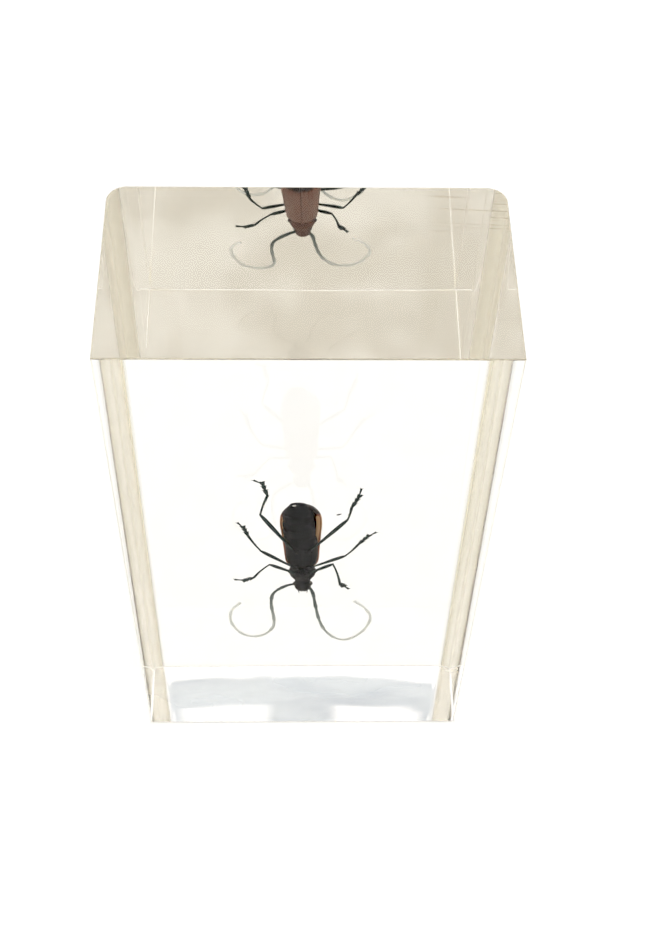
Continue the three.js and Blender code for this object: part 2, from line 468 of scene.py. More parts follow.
@dataclass(frozen=True)
class ClearResin:
    """Cast polyester resin, polished by hand: clear, faintly straw, and slowly wavy where it mirrors.

    The attribute "buffed" is high on faces that were only buffed, which are hazy. Their straw tint
    and lost clearness are painted shade, for the darker beige bands that light makes in the rounded back
    edges.
    "eased" is high on worn edges, which grime dulls in clouds, and on the foot, where the same
    dulling grime is painted shade of the floor under the block, as seen through the top.
    """

    name: str = "clear_cast_resin"
    tint: str = "#e3dac2"
    density_per_m: float = 4.7
    clearness: float = 0.985
    refraction: float = 1.54
    wave_size_mm: float = 9.0
    wave_height_mm: float = 0.003
    smudge_size_mm: float = 3.0
    smudge_haze: float = 0.03
    edge_haze: float = 0.42
    # The straw tint and lost clearness of buffed faces are painted shade in the rounded back edges
    edge_tint: str = "#f4e9c3"
    edge_dullness: float = 0.13
    # Grime on worn edges and scuffs, and on the foot painted shade of the floor under the block
    grime: str = "#b9ae97"
    grime_dullness: float = 0.3
    wear_size_mm: float = 14.0
    scuff_depth_mm: float = 0.006
    scuff_length_mm: float = 16.0
    scuff_width_mm: float = 0.42
    scuff_turn: float = -0.06
    scuffs_start_mm: tuple[tuple[str, float, float], ...] = (
        ("X", 11.0, 13.5), ("Y", 3.5, 5.5), ("Z", 74.95, 74.99)
    )

    def scuffs(self, tree: NodeTree) -> Node:
        """Adds the fine straight scuffs at the right rear of the top.

        Args:
            tree: The node tree.

        Returns:
            The node that gives their depth, 0 where there is no scuff.
        """
        where = add_node(tree, "TexCoord").outputs["Object"]
        axes = add_node(tree, "SeparateXYZ", {0: where}).outputs
        stretch = (self.scuff_length_mm * MM, self.scuff_width_mm * MM, 1.0)
        along = {"Vector": where, "Rotation": (0, 0, self.scuff_turn), "Scale": stretch}
        long_way = add_node(tree, "Mapping", along, vector_type="TEXTURE")
        lines = add_node(tree, "TexNoise", {"Vector": long_way, "Scale": 1.0, "Detail": 1.0})
        cut = {"Value": lines, "From Min": 0.54, "From Max": 0.68, "To Max": 0.8}
        depth = add_node(tree, "MapRange", cut, **SOFTLY)
        for axis, low, high in self.scuffs_start_mm:
            start = {"Value": axes[axis], "From Min": low * MM, "From Max": high * MM}
            mask = add_node(tree, "MapRange", start, **SOFTLY)
            depth = add_node(tree, "Math", {0: depth, 1: mask}, operation="MULTIPLY")
        return depth

    def build(self) -> Material:
        """Makes the material.

        Returns:
            The material.
        """
        material, tree = new_material(self.name)
        buffed = add_node(tree, "Attribute", attribute_name="buffed").outputs["Fac"]
        eased = add_node(tree, "Attribute", attribute_name="eased").outputs["Fac"]
        scuffs = self.scuffs(tree)
        waves = object_noise(tree, self.wave_size_mm, 1.0)
        swell = {"Height": waves, "Strength": 1.0, "Distance": self.wave_height_mm * MM}
        relief = add_node(tree, "Bump", swell)
        cut = {"Height": scuffs, "Strength": 1.0, "Distance": self.scuff_depth_mm * MM, "Normal": relief}
        relief = add_node(tree, "Bump", cut, invert=True)
        smudges = clouds(tree, self.smudge_size_mm, 4.0, (0.55, 0.8), (0.0, self.smudge_haze))
        haze = add_node(tree, "Math", {0: buffed, 1: self.edge_haze, 2: smudges}, operation="MULTIPLY_ADD")
        patches = clouds(tree, self.wear_size_mm, 2.0, (0.38, 0.62), (0.0, 1.3), **SOFTLY)
        wear_and_shade = add_node(tree, "Math", {0: eased, 1: patches}, operation="MULTIPLY")
        grime = add_node(tree, "Math", {0: wear_and_shade, 1: scuffs}, operation="MAXIMUM")
        # Buffed faces and grime lose clearness: on the buffed faces and on the foot this is painted shade
        clear = self.clearness
        for dull, loss in ((buffed, self.edge_dullness), (grime, self.grime_dullness)):
            clear = add_node(tree, "Math", {0: dull, 1: -loss, 2: clear}, operation="MULTIPLY_ADD")
        # The straw tint of buffed faces is painted shade
        straw_shade = add_node(tree, "ValToRGB", {"Fac": buffed}, ((0.0, "#ffffff"), (1.0, self.edge_tint)))
        colour = add_node(tree, "Mix", {0: grime, 6: straw_shade, 7: linear(self.grime)}, data_type="RGBA")
        surface = add_node(
            tree,
            "BsdfPrincipled",
            {
                "Base Color": colour.outputs[2], "Roughness": haze, "IOR": self.refraction,
                "Transmission Weight": clear, "Normal": relief,
            },
        )
        depth_tint = {"Color": linear(self.tint), "Density": self.density_per_m}
        inside = add_node(tree, "VolumeAbsorption", depth_tint)
        add_node(tree, "OutputMaterial", {"Surface": surface, "Volume": inside})
        return material


@dataclass(frozen=True)
class Cuticle:
    """The surface of insect cuticle: cloudy in its gloss and finely pitted, so that glints break up."""

    gloss: float
    rough: tuple[float, float]
    cloud_mm: float
    pit_mm: float
    pit_depth_mm: float

    def surface(self, tree: NodeTree, colour: Node | NodeSocket) -> Node:
        """Adds the surface in a colour.

        Args:
            tree: The node tree.
            colour: What gives the colour.

        Returns:
            The shader.
        """
        where = add_node(tree, "TexCoord").outputs["Object"]
        cells = add_node(tree, "TexVoronoi", {"Vector": where, "Scale": 1 / (self.pit_mm * MM)})
        depths = {"Value": cells, "From Min": 0.1, "From Max": 0.45}
        pits = add_node(tree, "MapRange", depths, **SOFTLY)
        height = {"Height": pits, "Strength": 0.8, "Distance": self.pit_depth_mm * MM}
        relief = add_node(tree, "Bump", height)
        rough, high = self.rough
        if rough < high:
            rough = clouds(tree, self.cloud_mm, 3.0, (0.3, 0.7), self.rough)
        return add_node(
            tree,
            "BsdfPrincipled",
            {"Base Color": colour, "Roughness": rough, "Specular IOR Level": self.gloss, "Normal": relief},
        )


@dataclass(frozen=True)
class BodyCuticle:
    """Black body cuticle: near black with a violet cast in front, warm brown on the back, satin."""

    name: str = "black_body_cuticle"
    dark: str = "#0f1014"
    light: str = "#1b1a21"
    back: str = "#573c33"
    back_from_mm: float = WAIST.y + 0.1
    back_to_mm: float = WAIST.y + 0.9
    cuticle: Cuticle = Cuticle(0.16, (0.32, 0.55), cloud_mm=0.25, pit_mm=0.11, pit_depth_mm=0.012)

    def build(self) -> Material:
        """Makes the material.

        Returns:
            The material.
        """
        material, tree = new_material(self.name)
        stops = ((0.35, self.dark), (0.7, self.light))
        black = add_node(tree, "ValToRGB", {"Fac": object_noise(tree, 0.9)}, stops)
        where = add_node(tree, "TexCoord").outputs["Object"]
        depth = add_node(tree, "SeparateXYZ", {0: where}).outputs["Y"]
        reach = {"Value": depth, "From Min": self.back_from_mm * MM, "From Max": self.back_to_mm * MM}
        behind = add_node(tree, "MapRange", reach, **SOFTLY)
        colour = add_node(tree, "Mix", {0: behind, 6: black, 7: linear(self.back)}, data_type="RGBA")
        add_node(tree, "OutputMaterial", {"Surface": self.cuticle.surface(tree, colour.outputs[2])})
        return material


@dataclass(frozen=True)
class WingCaseCuticle:
    """Wing-case cuticle: satin red-brown, so thin that it glows where the attribute "margin" is high."""

    name: str = "wing_case_cuticle"
    tail: str = "#1d1615"
    disc: str = "#6a4638"
    flank: str = "#955f48"
    margin: str = "#c8a67f"
    glow: str = "#dfc29c"
    glow_share: float = 0.5
    cuticle: Cuticle = Cuticle(0.35, (0.3, 0.5), cloud_mm=0.3, pit_mm=0.14, pit_depth_mm=0.014)

    def build(self) -> Material:
        """Makes the material.

        Returns:
            The material.
        """
        material, tree = new_material(self.name)
        paleness = mottled(tree, "margin", 0.5, 0.12)
        stops = ((0.0, self.tail), (0.2, self.disc), (0.56, self.flank), (0.88, self.margin))
        colour = add_node(tree, "ValToRGB", {"Fac": paleness}, stops)
        surface = self.cuticle.surface(tree, colour)
        through = add_node(tree, "BsdfTranslucent", {"Color": linear(self.glow)})
        thin = {"Value": paleness, "From Min": 0.48, "From Max": 0.88, "To Max": self.glow_share}
        share = add_node(tree, "MapRange", thin)
        mixed = add_node(tree, "MixShader", {0: share, 1: surface, 2: through})
        add_node(tree, "OutputMaterial", {"Surface": mixed})
        return material


@dataclass(frozen=True)
class LimbCuticle:
    """Limb cuticle: satin black with a teal cast, and grey-white where the attribute "fade" is high."""

    name: str = "teal_black_limb_cuticle"
    stops: tuple[tuple[float, str], ...] = (
        (0.0, "#22302f"), (0.08, "#4d5755"), (0.2, "#636c6a"), (0.33, "#8b918e"), (0.46, "#b9bdb9"),
        (0.6, "#d3d6d1"), (1.0, "#e4e6e2"),
    )
    cuticle: Cuticle = Cuticle(0.2, (0.28, 0.45), cloud_mm=0.2, pit_mm=0.07, pit_depth_mm=0.006)

    def build(self) -> Material:
        """Makes the material.

        Returns:
            The material.
        """
        material, tree = new_material(self.name)
        colour = add_node(tree, "ValToRGB", {"Fac": mottled(tree, "fade", 0.4, 0.06)}, self.stops)
        add_node(tree, "OutputMaterial", {"Surface": self.cuticle.surface(tree, colour)})
        return material


@dataclass(frozen=True)
class EyeLens:
    """Compound eye: black-brown and glossy, a fine honeycomb of lenses that gives a small sharp glint."""

    name: str = "compound_eye"
    colour: str = "#17110f"
    light: str = "#2c211c"
    cuticle: Cuticle = Cuticle(0.5, (0.18, 0.18), cloud_mm=0.3, pit_mm=0.035, pit_depth_mm=0.004)

    def build(self) -> Material:
        """Makes the material.

        Returns:
            The material.
        """
        material, tree = new_material(self.name)
        stops = ((0.3, self.colour), (0.8, self.light))
        colour = add_node(tree, "ValToRGB", {"Fac": object_noise(tree, 0.3)}, stops)
        add_node(tree, "OutputMaterial", {"Surface": self.cuticle.surface(tree, colour)})
        return material


@dataclass(frozen=True)
class PaleSkin:
    """A painted highlight at the tail's rim: off-white and slightly glossy, one pale spot that stands for a
    glint.
    """

    name: str = "pale_joint_skin"
    dark: str = "#d8d3c6"
    light: str = "#e9e6dd"

    def build(self) -> Material:
        """Makes the material.

        Returns:
            The material.
        """
        material, tree = new_material(self.name)
        stops = ((0.3, self.dark), (0.6, self.light))
        colour = add_node(tree, "ValToRGB", {"Fac": object_noise(tree, 0.2)}, stops)
        surface = add_node(tree, "BsdfPrincipled", {"Base Color": colour, "Roughness": 0.35})
        add_node(tree, "OutputMaterial", {"Surface": surface})
        return material


@dataclass(frozen=True)
class MatteWhite:
    """Matte white studio paper, pressed without gloss, so that it only gives back soft light."""

    name: str = "matte_white_paper"
    low: str = "#f1f1ef"
    high: str = "#f3f3f2"

    def build(self) -> Material:
        """Makes the material.

        Returns:
            The material.
        """
        material, tree = new_material(self.name)
        stops = ((0.3, self.low), (0.7, self.high))
        colour = add_node(tree, "ValToRGB", {"Fac": object_noise(tree, 4.0, 5.0)}, stops)
        surface = add_node(tree, "BsdfDiffuse", {"Color": colour})
        add_node(tree, "OutputMaterial", {"Surface": surface})
        return material


# ---- The resin ----


@dataclass
class ResinBlock:
    """The clear casting, one solid block with its two upright back edges rounded."""

    width: float = 40.0
    thickness: float = 22.4
    height: float = 75.0
    back_edge_radius: float = 2.0
    back_edge_facets: int = 24
    edge_ease: float = 0.14
    edge_facets: int = 4
    edge_haze: float = 0.3
    edge_wear: float = 0.3
    foot_wear: float = 0.2
    wide_area: float = 100.0
    facet_area: float = 6.0
    long_perimeter: float = 20.0
    resin: ClearResin = ClearResin()

    def form(self) -> BMesh:
        """Cuts the block from a cube, breaks its edges and marks how each face is finished and where shade
        is painted on it.

        Returns:
            The block's form.
        """
        form = bmesh.new()
        size = (self.width, self.thickness, self.height, 1)
        place = Matrix.Translation((0, 0, self.height / 2)) @ Matrix.Diagonal(size)
        bmesh.ops.create_cube(form, size=1.0, matrix=place)
        upright = [
            edge
            for edge in form.edges
            if abs(edge.verts[0].co.z - edge.verts[1].co.z) > 1 and edge.verts[0].co.y > 0
        ]
        self.round_edges(form, upright, self.back_edge_radius, self.back_edge_facets)
        sharp = [edge for edge in form.edges if edge.calc_face_angle(0) > math.radians(60)]
        self.round_edges(form, sharp, self.edge_ease, self.edge_facets)
        buffed = form.faces.layers.float.new("buffed")
        eased = form.faces.layers.float.new("eased")
        # How each face is finished: the straw tint of buffed faces and the grime on the foot are painted
        # shade
        for face in form.faces:
            area = face.calc_area()
            slant = min(abs(face.normal.x), abs(face.normal.y))
            if area > self.wide_area:
                # The foot is dulled with grime as painted shade of the floor under the block
                face[eased] = self.foot_wear if face.normal.z < -0.9 else 0.0
            elif area > self.facet_area and slant > 0.01:
                face[buffed] = ease(abs(face.normal.x), 0.3, 0.5)
            else:
                face[buffed] = self.edge_haze
                face[eased] = self.edge_wear if face.calc_center_median().z >= 1 else 0.0
        # The short ends of long facets are sharp, or the shading would bend along the whole facet
        for edge in form.edges:
            widest = max(face.calc_perimeter() for face in edge.link_faces)
            edge.smooth = widest <= self.long_perimeter or edge.calc_length() >= 1
        return form

    def round_edges(self, form: BMesh, edges: list[BMEdge], radius: float, segments: int) -> None:
        """Rounds edges of the block.

        Args:
            form: The block's form.
            edges: The edges to round.
            radius: The radius.
            segments: How many facets the round has.
        """
        bmesh.ops.bevel(
            form, geom=edges, offset=radius, offset_type="OFFSET", affect="EDGES", segments=segments,
            profile=0.5, material=-1, clamp_overlap=False,
        )

    def build(self) -> None:
        """Makes the block in place of the two halves that the beetle's pocket parts."""
        halves = ("resin_front", "resin_back")
        piece = Piece("resin_block", "clear_resin", halves, [self.resin.build()], BLOCK_PLACE)
        piece.add(self.form())
        for face in piece.body.faces:
            face.smooth = face.calc_area() < self.wide_area
        piece.finish()


# ---- The beetle's body ----


@dataclass(frozen=True)
class BodyForm:
    """A rounded part of the body along Z, as (place along it, half width), with a low dome at each end."""

    profile: Profile
    belly: float
    back: float
    rings: int = 60
    sides: int = 64
    dome: float = 0.4

    def cap(self, end: Vector, way: int) -> list[Vector]:
        """Draws the dome that closes one end.

        Args:
            end: The outline's last point there.
            way: The end's direction along Z, as 1 or -1.

        Returns:
            The dome's outline from its pole outwards.
        """
        reach = way * end.x * self.dome
        pole = Vector((0, 0, end.z + POLE_SHARE * reach))
        return [pole, *(Vector((end.x * c, 0, end.z + reach * (1 - c))) for c in CAP_SHARES)]

    def cast(self, shape: Callable[[Vector], Vector] | None = None) -> BMesh:
        """Turns the outline, gives it its depth and shapes it.

        Args:
            shape: Moves each point to its place, if the part has more form than its outline.

        Returns:
            The closed form.
        """
        line = smooth_line([Vector((half, 0, z)) for z, half in self.profile], self.rings)
        outline = [*self.cap(line[0], -1), *line, *reversed(self.cap(line[-1], 1))]
        form = turned(outline, self.sides)
        for vert in form.verts:
            vert.co.y *= self.belly if vert.co.y < 0 else self.back
        if shape:
            for vert in form.verts:
                vert.co = shape(vert.co.copy())
        return form


def widened(point: Vector, share: float) -> Vector:
    """The point moved away from the body's long axis by a share of its distance."""
    return Vector((point.x * (1 + share), point.y * (1 + share), point.z))


@dataclass
class Head:
    """The head, which hangs at the bottom: eyes, jaws, feelers of the mouth and antenna sockets."""

    body: BodyForm = BodyForm(
        ((-4.78, 0.66), (-4.6, 0.84), (-4.2, 0.95), (-3.6, 0.97), (-3, 0.9), (-2.3, 0.8)),
        belly=0.95,
        back=0.95,
    )
    lip: tuple[Point, ...] = ((0, -0.1, -4.55), (0, -0.14, -4.75), (0, -0.2, -4.9))
    lip_widths: tuple[float, ...] = (0.34, 0.33, 0.24)
    eye: Point = (0.8, -0.1, -3.5)
    eye_radius: float = 0.44
    eye_notch: float = 0.42
    jaw: tuple[Point, ...] = (
        (0.36, -0.28, -4.5), (0.48, -0.3, -4.72), (0.34, -0.35, -4.92), (0.06, -0.36, -5.0)
    )
    jaw_steps: int = 14
    left_socket: Point = (0.62, 0.28, -3.85)
    right_socket: Point = (0.5, 0.2, -4.0)
    jaw_feeler: tuple[Point, ...] = (
        (0.32, -0.6, -4.3), (0.48, -0.82, -4.5), (0.52, -0.92, -4.72), (0.42, -0.94, -4.94)
    )
    lip_feeler: tuple[Point, ...] = ((0.12, -0.64, -4.42), (0.16, -0.78, -4.62), (0.13, -0.82, -4.84))
    feeler_joint: Profile = ((0, 0.035), (0.7, 0.062), (1, 0.05))

    def socket(self, side: Side) -> Vector:
        """Where the antenna of a side stands."""
        return side.of(self.left_socket if side is Side.LEFT else self.right_socket)

    def shape(self, point: Vector) -> Vector:
        """Gives the head its brow groove, its throat and its uneven surface.

        Args:
            point: A point of the plain form.

        Returns:
            Its place on the head.
        """
        groove = bump(point.x, 0.12) * ease(point.y, 0.1, 0.6)
        throat = bump(point.z + 2.95, 0.35) * ease(-point.y, 0.0, 0.6)
        rough = noise.noise(point * 3.1)
        return widened(point, 0.015 * rough - 0.06 * groove - 0.07 * throat)

    def eye_form(self, side: Side) -> BMesh:
        """Makes a kidney-shaped eye, notched round the antenna's socket.

        Args:
            side: The side that it is on.

        Returns:
            The closed form.
        """
        centre = side.of(self.eye)
        form = ball(centre, self.eye_radius, (0.8, 1.15, 1.0), 24)
        for vert in form.verts:
            near = bump((vert.co - self.socket(side)).length, self.eye_notch)
            vert.co = vert.co.lerp(centre, 0.45 * near)
        return form

    def build(self, cuticle: Material, lens: Material) -> None:
        """Makes the head.

        Args:
            cuticle: The finish of the shell.
            lens: The finish of the eyes.
        """
        piece = Piece("head_capsule", "black_shell", ("head",), [cuticle, lens])
        piece.add(self.body.cast(self.shape))
        piece.add(swept([Vector(point) for point in self.lip], self.lip_widths, 20, 0.4))
        for side in Side:
            piece.add(self.eye_form(side), 1)
            route = smooth_line([side.of(point) for point in self.jaw], self.jaw_steps)
            radii = [0.2 - 0.16 * (i / self.jaw_steps) ** 1.4 for i in range(self.jaw_steps + 1)]
            piece.add(swept(route, radii, 14, 0.75))
            socket = self.socket(side)
            outward = Vector((side.value * 0.14, 0.05, -0.1))
            piece.add(swept([socket - outward, socket + outward * 0.4], [0.27, 0.2], 18))
            for feeler in (self.jaw_feeler, self.lip_feeler):
                for a, b in zip(feeler, feeler[1:]):
                    piece.add(segment(side.of(a), side.of(b), self.feeler_joint, 6, sides=10))
        piece.finish()


@dataclass
class Pronotum:
    """The neck shield: a barrel with a blunt spine on each side and a rim at each end."""

    body: BodyForm = BodyForm(
        ((-2.6, 0.94), (-2.2, 1.14), (-1.6, 1.42), (-0.9, 1.52), (-0.2, 1.44), (0.2, 1.26)),
        belly=0.94,
        back=0.98,
        rings=72,
        dome=0.12,
    )
    rims: tuple[float, ...] = (-2.28, 0.0)
    knobs: Profile = ((0.5, -1.5), (0.45, -0.6), (0.0, -1.0))
    spine: Point = (1.42, 0.12, -0.92)
    spine_reach: float = 0.24
    spine_width: float = 0.6
    bridge: tuple[Point, ...] = ((0, -1.12, -1.1), (0, -1.3, -0.75), (0, -1.36, -0.35), (0, -1.2, 0.05))
    bridge_radius: float = 0.16
    bridge_steps: int = 12

    def shape(self, point: Vector) -> Vector:
        """Raises the side spines, the knobs of the back and the rims, and roughens the surface.

        Args:
            point: A point of the plain form.

        Returns:
            Its place on the shield.
        """
        sunk = sum(0.05 * bump(point.z - z, 0.12) for z in self.rims)
        knobs = 0.0
        for x, z in self.knobs:
            away = math.hypot(abs(point.x) - x, point.z - z)
            knobs += 0.06 * bump(away, 0.34) * ease(point.y, 0.3, 0.8)
        moved = widened(point, knobs - sunk + 0.02 * noise.noise(point * 4.0))
        side = 1 if point.x > 0 else -1
        away = math.hypot(point.y - self.spine[1], point.z - self.spine[2])
        spine = bump(away, self.spine_width) ** 1.6 * ease(abs(point.x), 0.7, 1.1)
        moved.x += side * self.spine_reach * spine
        return moved

    def build(self, cuticle: Material) -> None:
        """Makes the pronotum, with the bridge between the front hips.

        Args:
            cuticle: The finish of the shell.
        """
        piece = Piece("pronotum_shield", "black_shell", ("pronotum",), [cuticle])
        piece.add(self.body.cast(self.shape))
        bridge = smooth_line([Vector(point) for point in self.bridge], self.bridge_steps)
        piece.add(swept(bridge, [self.bridge_radius] * len(bridge), 14, 0.7))
        piece.finish()


@dataclass
class Abdomen:
    """The hind body under the wing cases: the breast plates, five belly plates and the tail's rim."""

    body: BodyForm = BodyForm(
        (
            (0.3, 1.1), (0.8, 1.5), (1.6, 1.74), (4, 1.86), (7, 1.8), (9.4, 1.72), (10.8, 1.66),
            (11.6, 1.4), (12.2, 1.04), (12.5, 0.84),
        ),
        belly=0.94,
        back=0.68,
        rings=230,
        sides=96,
        dome=0.1,
    )
    tail: BodyForm = BodyForm(((11.9, 0.62), (12.4, 0.55), (12.6, 0.42)), 0.7, 0.6, 10, 32, 0.25)
    plate_ends: tuple[float, ...] = (4.75, 6.7, 8.2, 9.6, 10.95, 12.35)
    step: float = 0.045
    tail_aside: float = 0.27
    rim_size: tuple[float, float] = (0.82, 0.52)
    rim_middle: Point = (0, -0.12, 12.55)
    rim_steps: int = 40
    rim_radius: float = 0.09
    # Where the off-white spot that paints a highlight at the tail sits
    skin_fold: Point = (-0.64, -0.56, 12.64)
    back_shield: tuple[Point, ...] = ((0, 1.12, 0.5), (0, 1.38, 0.75), (0, 1.5, 1.05), (0, 1.52, 1.35))
    back_shield_widths: tuple[float, ...] = (0.3, 0.28, 0.2, 0.06)

    def plates(self, z: float) -> float:
        """How far the belly plates stand out at a place along the body.

        Args:
            z: The place along the body.

        Returns:
            The share by which the body is widened.
        """
        for start, end in zip(self.plate_ends, self.plate_ends[1:]):
            if start <= z < end:
                rise = ease(z, start, start + 0.5)
                lip = ease(z, end - 0.1, end)
                return self.step * (rise * 0.6 + 0.4 * ease(z, start, end) - lip)
        return 0.0

    def shape(self, point: Vector) -> Vector:
        """Cuts the seams between the breast plates and the belly plates.

        Args:
            point: A point of the plain form.

        Returns:
            Its place on the body.
        """
        under = ease(-point.y, -0.2, 0.5)
        share = self.plates(point.z) * (0.4 + 0.6 * under)
        breast = ease(point.z, 0.9, 1.3) * (1 - ease(point.z, 3.9, 4.4))
        side_seam = abs(abs(point.x) - 1.12 - 0.06 * (point.z - 2.5))
        share -= (0.05 * bump(point.x, 0.09) + 0.035 * bump(side_seam, 0.07)) * breast * under
        share -= 0.05 * bump(point.z - 1.05 - 0.25 * abs(point.x), 0.09) * under
        share -= 0.05 * bump(point.z - 4.72 + 0.1 * abs(point.x), 0.1) * under
        share += 0.008 * noise.noise(point * 5.0)
        moved = widened(point, share)
        moved.x -= self.tail_aside * ease(point.z, 4.0, 9.0)
        return moved

    def build(self, cuticle: Material, skin: Material) -> None:
        """Makes the abdomen with the hind part of the thorax.

        Args:
            cuticle: The finish of the shell.
            skin: The finish of the off-white spot at the tail, a painted highlight.
        """
        piece = Piece("abdomen_and_breast", "black_shell", ("abdomen",), [cuticle, skin])
        piece.add(self.body.cast(self.shape))
        middle = Vector(self.rim_middle) - Vector((self.tail_aside, 0, 0))
        wide, deep = self.rim_size
        turns = [i * TAU / self.rim_steps for i in range(self.rim_steps + 1)]
        rim = [middle + Vector((wide * math.cos(turn), deep * math.sin(turn), 0)) for turn in turns]
        piece.add(swept(rim, [self.rim_radius] * len(rim), 10, up=Vector((0, 0, 1))))
        # An off-white spot at the tail's rim: a painted highlight
        piece.add(ball(Vector(self.skin_fold), 0.17, (1.3, 0.6, 0.62), 12), 1)
        piece.add(self.tail.cast())
        shield = [Vector(point) for point in self.back_shield]
        piece.add(swept(shield, self.back_shield_widths, 16, 0.5))
        piece.finish()


@dataclass
class WingCase:
    """One wing case: a domed shell with a bead along the suture and a fold under its side."""

    side: Side
    profile: Profile = (
        (0.45, 1.38), (0.8, 1.64), (1.5, 1.82), (4, 1.98), (7, 2.16), (9, 2.27), (10.5, 2.14), (11.5, 1.7),
        (12.05, 1.2), (12.25, 0.7), (12.3, 0.25),
    )
    belly: float = 0.5
    back: float = 0.86
    wall: float = 0.13
    suture_gap: float = 0.05
    hem_y: float = -0.5
    fold_width: float = 0.34
    ribs: tuple[float, ...] = (0.18, 0.34, 0.5)
    widest: float = 2.2
    lining_below: float = 0.68
    steps: int = 44
    rings: int = 110

    def arc(self, half: float) -> float:
        """The turn from the suture to the hem, for a half width."""
        low = min(0.95, -self.hem_y / (self.belly * max(half, 0.2)))
        return math.pi / 2 + math.asin(low)

    def form(self) -> BMesh:
        """Turns the profile through part of a turn, folds its side under and gives it a wall.

        Returns:
            The closed form, with the attribute "margin".
        """
        outline = smooth_line([Vector((0, half, z)) for z, half in self.profile], self.rings)
        full = self.arc(self.widest)
        form = turned(outline, self.steps, -full * self.side.value)
        margin = form.verts.layers.float.new("margin")
        for vert in form.verts:
            half = math.hypot(vert.co.x, vert.co.y)
            share = math.atan2(vert.co.x * self.side.value, vert.co.y) / full
            vert[margin] = self.paleness(share, vert.co.z)
            vert.co = self.shape(share, half, vert.co.z)
        bmesh.ops.recalc_face_normals(form, faces=form.faces[:])
        middle = Vector((0, 0, 6))
        outward = sum(face.normal.dot(face.calc_center_median() - middle) for face in form.faces)
        if outward < 0:
            bmesh.ops.reverse_faces(form, faces=form.faces[:])
        bmesh.ops.solidify(form, geom=form.faces[:], thickness=self.wall)
        return form

    def paleness(self, share: float, z: float) -> float:
        """How pale the shell is at a place.

        Args:
            share: How far round the place lies, from the suture at 0 to the hem at 1.
            z: The place along the shell.

        Returns:
            0 at the dark tail end, 0.2 on the disc, and up to 1 at the margin.
        """
        tail = ease(z, 4.0, 7.5) * (1 - ease(z, 10.4, 11.4))
        # The margin is darker along a thin line at the fold under the side: painted shade in the crease
        fold = 1 - 0.85 * bump(share - 0.91, 0.03)
        pale = ease(share, 0.62, 0.86) * (0.4 + 0.6 * tail) * fold
        return (0.2 + 0.8 * pale) * (1 - ease(z, 10.3, 11.0))

    def shape(self, share: float, half: float, z: float) -> Vector:
        """Places a point of the shell.

        Args:
            share: How far round it lies, from the suture at 0 to the hem at 1.
            half: The shell's half width there.
            z: Its place along the shell.

        Returns:
            The point.
        """
        turn = share * self.arc(half)
        bead = 0.035 * bump(share, 0.035)
        ribs = 0.012 * sum(bump(share - at, 0.05) for at in self.ribs)
        shoulder = 0.05 * bump(share - 0.55, 0.14) * bump(z - 1.1, 0.8)
        grown = half * (1 + bead + ribs + shoulder)
        x = grown * math.sin(turn)
        y = grown * math.cos(turn)
        y *= self.back if y > 0 else self.belly
        fold = ease(share, 0.88, 1.0) * (1 - 0.85 * ease(z, 9.8, 11.4))
        x -= fold * self.fold_width * min(1.0, half)
        x = max(x, 0.0) + self.suture_gap
        return Vector((x * self.side.value, y, z))

    def build(self, cuticle: Material, lining: Material) -> None:
        """Makes the wing case.

        Args:
            cuticle: The finish of the shell.
            lining: The body's black finish for its hollow side, all but the pale margin: a darker inner
                surface, and painted shade under the shell.
        """
        node = f"wing_case_{self.side.word}"
        piece = Piece(f"{node}_shell", "wing_shell", (node,), [cuticle, lining])
        piece.add(self.form())
        margin = piece.body.verts.layers.float["margin"]
        for face in piece.body.faces:
            middle = face.calc_center_median()
            is_inner = face.normal.x * middle.x + face.normal.y * middle.y < 0
            # The hollow side is darkened to the black body finish: painted shade under the shell
            if is_inner and max(vert[margin] for vert in face.verts) < self.lining_below:
                face.material_index = 1
        piece.finish()


# ---- The beetle's limbs ----


